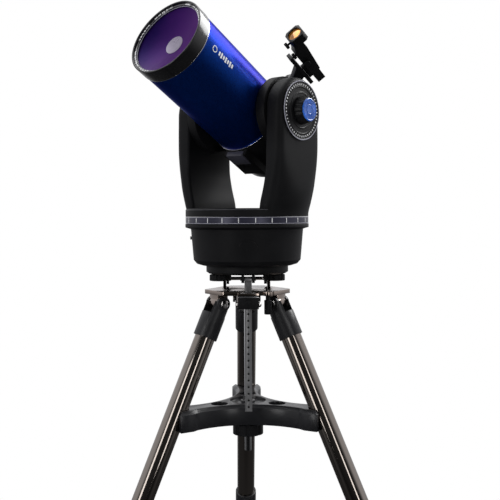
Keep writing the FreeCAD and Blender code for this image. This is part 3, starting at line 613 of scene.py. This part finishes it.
LENS_EDGE = 66.4
LENS_SAG = 17.0
LENS_RIM_S = 231.2
LENS_THICK = 7.6
LENS_FLAT_R = 56.0
LENS_RINGS = 32
SPOT_R = 17.4
SPOT_RINGS = 10


def bowl_s(r):
    """How far along the tube the corrector's hollow face lies, at a radius."""
    curve = (LENS_EDGE ** 2 + LENS_SAG ** 2) / (2 * LENS_SAG)
    return LENS_RIM_S - LENS_SAG + curve - math.sqrt(curve ** 2 - r ** 2)


def make_optics():
    """The corrector, whose rear face is flat near its rim, and the mirrored spot on its middle."""
    rings = [LENS_EDGE * i / LENS_RINGS for i in range(LENS_RINGS + 1)]
    front = [(r, bowl_s(r)) for r in rings]
    rear = [(r, bowl_s(min(r, LENS_FLAT_R)) - LENS_THICK) for r in rings[::-1]]
    lens = lathe(front + rear, MID_ROUND)
    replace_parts(piece("meniscus", lens, TUBE, "ota", GLASS, 60), "corrector_lens")
    dot = [SPOT_R * i / SPOT_RINGS for i in range(SPOT_RINGS + 1)]
    spot = lathe([(r, bowl_s(r) + 0.5) for r in dot] + [(r, bowl_s(r) + 0.1) for r in dot[::-1]],
                 SMALL_ROUND)
    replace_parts(piece("spot", spot, TUBE, "ota", MIRROR, 60), "secondary_spot")


# first and last angle of each group, and the length of a dash and of the gap after it, in degrees
BEZEL_DASHES = ((20, 58, 3.4, 1.8), (66, 78, 12, 1), (104, 138, 5, 2), (148, 176, 3.4, 1.6),
                (196, 232, 8, 1.6), (240, 262, 4, 1.6), (300, 338, 3.0, 2.2))


def arc_band(radius_in, radius_out, z, start, end, thick, built, steps=None):
    """A flat curved bar on a plane across Z."""
    steps = steps or max(2, int(abs(end - start) / 3))
    rows = []
    for i in range(steps + 1):
        angle = math.radians(start + (end - start) * i / steps)
        c, s = math.cos(angle), math.sin(angle)
        rows.append([built.verts.new((r * c, r * s, h)) for r, h in
                     ((radius_in, z), (radius_out, z), (radius_out, z + thick), (radius_in, z + thick))])
    for near, far in zip(rows, rows[1:]):
        for j in range(4):
            k = (j + 1) % 4
            built.faces.new((near[j], far[j], far[k], near[k]))
    built.faces.new(rows[0])
    built.faces.new(rows[-1][::-1])
    return built


def make_bezel_marks():
    """Plain white dashes and arcs round the bezel, in place of its lettering."""
    built = bmesh.new()
    for first, last, dash, gap in BEZEL_DASHES:
        angle = first
        while angle < last:
            arc_band(66.3, 69.0, 236.2, angle, min(last, angle + dash), 0.5, built)
            angle += dash + gap
    piece("bezel_marks", built, TUBE, "ota", WHITE)


def on_tube(built, radius):
    """Wraps a flat piece drawn with X round the tube and Y along it onto the tube's side."""
    for v in built.verts:
        angle = v.co.x / radius
        reach = radius + v.co.z
        v.co = Vector((reach * math.cos(angle), reach * math.sin(angle), v.co.y))
    return built


def make_decal():
    """A plain white mark on the tube's side: a ring and a row of bars."""
    built = bmesh.new()
    centre, outside, inside, arcs = 190.0, 5.8, 4.3, 40
    top_bar, pitch, bar = 179.0, 6.0, 3.8
    lift, strips = 0.12, 4
    for i in range(arcs):
        first = TAU * i / arcs
        second = TAU * (i + 1) / arcs
        loop = [(outside, first), (outside, second), (inside, second), (inside, first)]
        built.faces.new([built.verts.new((r * math.cos(t), centre + r * math.sin(t), lift))
                         for r, t in loop])
    for i in range(7):
        y = top_bar - i * pitch
        half = 5.0 if i % 2 else 3.6
        for k in range(strips):
            x0 = -half + 2 * half * k / strips
            x1 = -half + 2 * half * (k + 1) / strips
            built.faces.new([built.verts.new((*corner, lift)) for corner in
                             ((x0, y), (x1, y), (x1, y - bar), (x0, y - bar))])
    bmesh.ops.remove_doubles(built, verts=built.verts, dist=1e-4)
    bmesh.ops.solidify(built, geom=built.faces[:], thickness=-0.1)
    piece("tube_mark", on_tube(built, TUBE_R), TUBE, "ota", WHITE)


# ---------------------------------------------------------------- fork

ARM_OUT = 125.2
ARM_TOP_R = 59.0
ARM_FOOT = 64.0
ARM_BOTTOM = -183.0
ARM_STRAIGHT_STEPS = 44
ARM_TOP_STEPS = 62
ARM_EDGE = 11.0
ARM_INNER_EDGE = 5.0
EDGE_STEPS = 8
# (height, distance from the middle) of an arm's outer and inner sides
SIDE_CURVE = [(-183, 114.7), (-163, 120.5), (-137, 127), (-97, 133), (-67, 136), (-40, 136.8), (70, 136.8)]
INNER_CURVE = [(-183, 78), (-164, 79), (-134, 87), (-105, 92), (80, 92)]


def along_curve(curve, z):
    """Reads a piecewise curve of (height, value), eased at its corners."""
    total = 0.0
    for shift in (-8, -4, 0, 4, 8):
        h = min(max(z + shift, curve[0][0]), curve[-1][0])
        for (z0, v0), (z1, v1) in zip(curve, curve[1:]):
            if z0 <= h <= z1:
                total += v0 + (v1 - v0) * (h - z0) / (z1 - z0)
                break
    return total / 5


def arm_loop(inset):
    """The arm's side outline moved in by inset, up one side, over the top and down the other."""
    radius = ARM_TOP_R - inset
    foot = ARM_FOOT * radius / ARM_TOP_R
    steps = [i / ARM_STRAIGHT_STEPS for i in range(ARM_STRAIGHT_STEPS)]
    rows = [(-(foot + (radius - foot) * t), ARM_BOTTOM * (1 - t)) for t in steps]
    for i in range(ARM_TOP_STEPS + 1):
        angle = math.pi * i / ARM_TOP_STEPS
        rows.append((-radius * math.cos(angle), radius * math.sin(angle)))
    rows += [(foot + (radius - foot) * t, ARM_BOTTOM * (1 - t)) for t in steps[::-1]]
    return rows


def soft_least(a, b, blend):
    """The smaller of two lengths, with an eased crossing that stays just inside both."""
    least = min(a, b)
    return least - blend * math.log(math.exp((least - a) / blend) + math.exp((least - b) / blend))


def arm_mesh(sign):
    """One arm as two height fields, outer and inner, over insets of its side outline."""
    insets = [ARM_EDGE * (1 - math.cos(math.pi / 2 * i / EDGE_STEPS)) for i in range(EDGE_STEPS + 1)]
    insets += [14, 16, 18, 20, 24, 30, 38, 46, 53, ARM_TOP_R]
    built = bmesh.new()

    def layer(outer):
        """Rows of points over the arm's outer or inner side, from its outline inwards."""
        made = []
        radius = ARM_EDGE if outer else ARM_INNER_EDGE
        for inset in insets:
            loop = arm_loop(inset)
            drop = radius - math.sqrt(max(0.0, radius ** 2 - max(0.0, radius - inset) ** 2))
            ring = []
            for y, z in loop:
                limit = along_curve(SIDE_CURVE, z)
                if outer:
                    flank = math.sqrt(max(1.0, limit ** 2 - y * y))
                    x = soft_least(ARM_OUT, flank, 1.6) - drop
                else:
                    x = along_curve(INNER_CURVE, z) + drop
                ring.append(built.verts.new((sign * x, sign * y, z)))
            made.append(ring)
        return made

    outer = layer(True)
    inner = layer(False)
    for rings in (outer, inner):
        for near, far in zip(rings, rings[1:]):
            for i in range(len(near) - 1):
                built.faces.new((near[i], near[i + 1], far[i + 1], far[i]))
    for i in range(len(outer[0]) - 1):
        built.faces.new((outer[0][i], outer[0][i + 1], inner[0][i + 1], inner[0][i]))
    bmesh.ops.remove_doubles(built, verts=built.verts, dist=1e-4)
    bmesh.ops.holes_fill(built, edges=[e for e in built.edges if len(e.link_faces) == 1])
    return built


def make_arms():
    """The fork's two arms, one the half-turned copy of the other."""
    for sign, node in ((1, "right_arm"), (-1, "left_arm")):
        arm = piece(node + "_shell", arm_mesh(sign), FORK, "fork", PLASTIC, 40)
        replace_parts(arm, node)


# radii from the azimuth axis, and heights from the altitude axis
DECK_R = 114.4
DECK_TOP = -172.0
DECK_LOW = -187.0
DECK_FLOOR = -174.0
BAND_R = 114.2
BAND_IN_R = 100.3
BAND_TOP = -187.5
BAND_LOW = -199.4
LINE_R = 114.75
LINE_IN_R = 113.8
LINE_HALF = 0.45
TICKS = 24
TICK_STEP = 15
TICK_FIRST = 6.4
DRUM_LOW = -277.0
DRUM_TOP = -199.9
DRUM_R = 115.0
DRUM_WAIST_R = 104.7
DRUM_FOOT_R = 99.9
ARCH_FOOT = -242.0
ARCH_RISE = 13.0
ARCH_HALF = 16.0
ARCH_STEPS = 24


def make_base():
    """The turning deck under the arms, with a painted highlight ring below its top edge, and the silver
    circle below it, with its lines and ticks.
    """
    deck = softened([(0, DECK_LOW), (DECK_R, DECK_LOW), (DECK_R, -174.5), (112.6, DECK_TOP),
                     (104, DECK_TOP), (101, DECK_FLOOR), (0, DECK_FLOOR)], 0.8)
    deck = piece("fork_deck", lathe(deck, BIG_ROUND), FORK, "fork", PLASTIC)
    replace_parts(deck, "fork_base")
    band = softened([(BAND_IN_R, BAND_LOW), (BAND_R, BAND_LOW), (BAND_R, BAND_TOP), (BAND_IN_R, BAND_TOP)],
                    0.3)
    band = piece("azimuth_band", lathe(band, BIG_ROUND), FORK, "circle", SILVER)
    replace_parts(band, "azimuth_circle")
    for name, z in (("band_line_top", -188.2), ("band_line_low", -198.9)):
        line = softened([(LINE_IN_R, z - LINE_HALF), (LINE_R, z - LINE_HALF), (LINE_R, z + LINE_HALF),
                         (LINE_IN_R, z + LINE_HALF)], 0.2)
        piece(name, lathe(line, BIG_ROUND), FORK, "circle", PALE)
    ticks = bmesh.new()
    for i in range(TICKS):
        mark = block(114.0, 114.7, -0.6, 0.6, -197.6, -189.4, 0.15)
        mark.transform(Matrix.Rotation(math.radians(-90 + TICK_FIRST + TICK_STEP * i), 4, "Z"))
        add_part(ticks, mark)
    piece("azimuth_ticks", ticks, NEAR, "circle", WHITE)
    # painted highlight: a faint light ring just below the deck's rounded top edge
    rim = softened([(113.2, -174.9), (114.6, -174.9), (114.6, -174.3), (113.2, -174.3)], 0.2)
    piece("deck_rim_highlight", lathe(rim, BIG_ROUND), FORK, "fork", DIM)


def make_drum():
    """The drive's drum, and the raised arch on its front."""
    wall = softened([(0, DRUM_LOW), (84, DRUM_LOW), (94, DRUM_LOW + 3), (DRUM_FOOT_R, DRUM_LOW + 10),
                     (DRUM_WAIST_R, -209.8), (DRUM_R, -206.7), (DRUM_R, DRUM_TOP), (100, DRUM_TOP),
                     (100, BAND_TOP), (20, BAND_TOP), (20, -199), (0, -199)], 1.6)
    drum = piece("drum", lathe(wall, BIG_ROUND), FORK, "tilt_base", PLASTIC)
    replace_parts(drum, "drive_base")
    built = bmesh.new()
    rows = []
    for i in range(ARCH_STEPS + 1):
        x = -ARCH_HALF + 2 * ARCH_HALF * i / ARCH_STEPS
        z = ARCH_FOOT + ARCH_RISE * math.sqrt(max(0.0, 1 - (x / 16.3) ** 2))
        radius = DRUM_WAIST_R + (DRUM_FOOT_R - DRUM_WAIST_R) * (-209.7 - z) / 58.1
        face = -math.sqrt(radius ** 2 - x * x)
        rows.append([built.verts.new((x, face + off, z + rise)) for off, rise in
                     ((0.6, -0.8), (-0.35, -0.3), (-0.35, 0.3), (0.6, 0.8))])
    for near, far in zip(rows, rows[1:]):
        for j in range(4):
            built.faces.new((near[j], far[j], far[(j + 1) % 4], near[(j + 1) % 4]))
    built.faces.new(rows[0])
    built.faces.new(rows[-1][::-1])
    piece("drum_arch", built, NEAR, "tilt_base", PLASTIC_LOW)


CIRCLE_ROUND = 144
DASHES = 48
DASH_STEP = 7.5
DASH_HALF = 1.1
RIBS = 30
RIB_STEP = 12
RIB_HALF = 1.7
CAP_FACE = 144.3


def make_altitude_circle():
    """The stepped plastic disc on the right arm, with a pale ring and its scale of dashes."""
    body = nodes["altitude_circle"]["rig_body"]
    steps = softened([(4.3, 125.6), (52.4, 125.6), (52.4, 127.2), (50.6, 127.6), (49.9, 126.9),
                      (43.4, 126.7), (42.6, 127.4), (40.6, 127.4), (39.8, 126.6), (33.0, 126.6),
                      (32.2, 127.3), (30.4, 127.3), (29.6, 126.8), (4.3, 126.8)], 0.35)
    disc = piece("altitude_disc", lathe(steps, CIRCLE_ROUND), SIDE, body, PLASTIC_LOW)
    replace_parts(disc, "altitude_circle")
    edge = softened([(50.6, 127.2), (52.3, 127.2), (52.3, 127.8), (50.6, 127.8)], 0.2)
    piece("altitude_ring", lathe(edge, CIRCLE_ROUND), SIDE, body, PALE)
    marks = bmesh.new()
    for i in range(DASHES):
        middle = DASH_STEP * i
        arc_band(44.2, 47.2, 126.6, middle - DASH_HALF, middle + DASH_HALF, 0.6, marks, 2)
    piece("altitude_dashes", marks, SIDE, body, WHITE)


def make_lock_knob():
    """A black tapered grip with a ribbed blue cap."""
    body = nodes["altitude_lock_knob"]["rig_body"]
    grip = domed(lobed_outline(1.0, 12, 0.045, 12),
                 [(24.9, 127.6), (25.0, 128.2), (24.9, 129.6), (23.6, 134), (22.4, 139), (21.4, 142.2),
                  (20.6, 143.2), (19.6, 143.5)])
    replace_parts(piece("lock_grip", grip, SIDE, body, PLASTIC_LOW), "altitude_lock_knob")
    cap = softened([(0, 142.8), (20.2, 142.8), (20.2, 144.2), (18.6, 145.2), (17.4, 144.4), (9.4, 144.4),
                    (8.6, 145.0), (7.4, 145.0), (6.6, CAP_FACE), (0, CAP_FACE)], 0.4)
    piece("lock_cap", lathe(cap, SMALL_ROUND), SIDE, body, KNOB_BLUE)
    ribs = bmesh.new()
    for i in range(RIBS):
        middle = RIB_STEP * i
        arc_band(9.6, 17.2, CAP_FACE, middle - RIB_HALF, middle + RIB_HALF, 0.55, ribs, 2)
    piece("lock_ribs", ribs, SIDE, body, KNOB_BLUE)
    shaft = lathe(softened([(0, 113), (4.0, 113), (4.0, 128), (0, 128)], 0.3), 32)
    piece("lock_shaft", shaft, SIDE, body, BRIGHT)


LEG_R = 18.6
LEG_BORE_R = 17.4
LEG_TOP = -31
LEG_LOW = -500


def make_leg_tubes():
    """The chromed outer tube of each leg."""
    for side, where in LEGS.items():
        node = "leg_tube_" + side
        tube = softened([(LEG_BORE_R, LEG_LOW), (LEG_R, LEG_LOW), (LEG_R, LEG_TOP), (LEG_BORE_R, LEG_TOP)],
                        0.4)
        body = nodes[node]["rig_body"]
        shell = piece("leg_shell_" + side, lathe(tube, MID_ROUND), where, body, LEG_CHROME)
        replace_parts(shell, node)


TO_FRONT = Matrix.Rotation(math.pi / 2, 4, "X")
TO_PLUS_X = Matrix.Rotation(math.pi / 2, 4, "Y")
TO_MINUS_X = Matrix.Rotation(-math.pi / 2, 4, "Y")


def dome_bolt(x, y, z, radius, rise, built, turn):
    """A round bolt head standing off a face, turned from pointing up to point the right way."""
    rings = 7
    cap = [(radius * math.cos(math.pi / 2 * i / rings), rise * math.sin(math.pi / 2 * i / rings))
           for i in range(rings + 1)]
    part = lathe([(0, -1.0), (radius, -1.0)] + cap, 40)
    part.transform(Matrix.Translation((x, y, z)) @ turn)
    add_part(built, part)


def make_bar_hole_shade():
    """Painted shade: a dark strip inside the latitude bar that backs its row of holes, so they look dark from
    both sides.
    """
    near_corner, far_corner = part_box("latitude_bar")
    middle = (near_corner.y + far_corner.y) / (2 * MM)
    # painted shade: the strip darkens the bar's through-holes
    hole_shade = block(-2.6, 2.6, middle - 0.4, middle + 0.4, low("latitude_bar") + 4,
                 high("latitude_bar") - 20, 0.1)
    piece("bar_hole_shade", hole_shade, FLOOR, nodes["latitude_bar"]["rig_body"], RUBBER)


GUIDE_SIDE = 19.0
GUIDE_BOLT_Z = ALT_Z - 343.5


def make_head_details():
    """The bright screws and edge strip of the guide block on the tripod head."""
    bolts = bmesh.new()
    dome_bolt(0, -92.2, ALT_Z - 339, 4.0, 2.2, bolts, TO_FRONT)
    dome_bolt(GUIDE_SIDE, -86.5, GUIDE_BOLT_Z, 4.6, 4.4, bolts, TO_PLUS_X)
    dome_bolt(-GUIDE_SIDE, -86.5, GUIDE_BOLT_Z, 4.6, 4.4, bolts, TO_MINUS_X)
    piece("guide_bolts", bolts, FLOOR, "tripod", CHROME)
    edge = block(-18.3, 18.3, -92.7, -91.6, ALT_Z - 331.0, ALT_Z - 328.6, 0.3)
    piece("guide_edge", edge, FLOOR, "tripod", BRIGHT)


# ---------------------------------------------------------------- small parts

# how wide the rounding of each CAD node's hard edges is, in millimetres
REFINED = {
    "tripod_head": 0.8, "pivot_pins": 0.6, "center_rod": 0.6, "bar_guide": 0.9, "tilt_plate": 0.8,
    "latitude_bar": 0.25, "azimuth_lock_lever": 1.0, "control_panel": 0.5, "power_switch": 0.6,
    "rear_housing": 1.2, "rear_cell": 0.8, "eyepiece_holder": 0.5, "eyepiece": 0.6,
    "eyepiece_thumbscrew": 0.3, "finder_bracket": 0.8, "finder_body": 1.0, "finder_lens": 0.3,
    "finder_screw_front": 0.3, "finder_screw_rear": 0.3, "finder_switch": 0.3, "flip_mirror": 0.3,
    "focus_knob": 0.3, "latitude_lock_knob": 0.4, "attachment_knob_left": 0.8, "attachment_knob_right": 0.8,
    "spreader_knob": 0.8, "spreader_tray": 1.0, "primary_mirror": 0.3, "baffle_tube": 0.3,
    "azimuth_gear": 0.3,
}
for side in LEGS:
    REFINED["leg_yoke_" + side] = 1.0
    REFINED["leg_collar_" + side] = 0.8
    REFINED["leg_lock_knob_" + side] = 0.6
    REFINED["leg_inner_tube_" + side] = 0.3
    REFINED["leg_foot_" + side] = 1.0


make_camera()
make_studio()
make_tube()
make_optics()
make_bezel_marks()
make_decal()
make_arms()
make_base()
make_drum()
make_altitude_circle()
make_lock_knob()
make_leg_tubes()
make_head_details()
make_bar_hole_shade()
for node_name, soft in REFINED.items():
    refined(node_name, soft)
